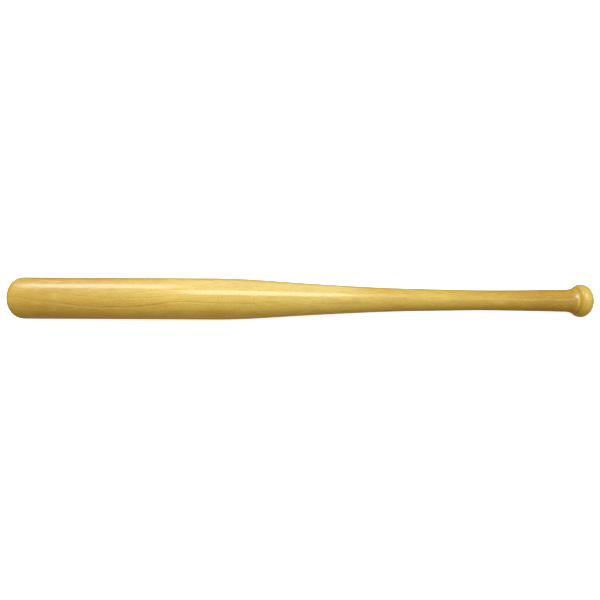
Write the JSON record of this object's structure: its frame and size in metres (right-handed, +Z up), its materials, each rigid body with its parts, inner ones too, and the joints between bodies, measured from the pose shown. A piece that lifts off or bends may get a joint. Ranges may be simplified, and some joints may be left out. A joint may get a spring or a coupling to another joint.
{
  "type": "baseball bat",
  "caption": "One-piece turned wooden bat: straight round barrel with a domed end, long taper to a slim handle, and a rounded knob set off by a sharp groove.",
  "frame": {"origin": "on the bat's axis, at the middle of its length", "axes": "+X along the axis of the bat from the barrel to the knob, +Z up and +Y across, both free because the bat is round"},
  "size_m": [0.7874, 0.0568, 0.0568],
  "materials": {
    "lacquered_wood": "clear gloss lacquer over pale amber wood"
  },
  "bodies": {
    "root": {"turned_billet": "lacquered_wood"}
  },
  "joints": []
}
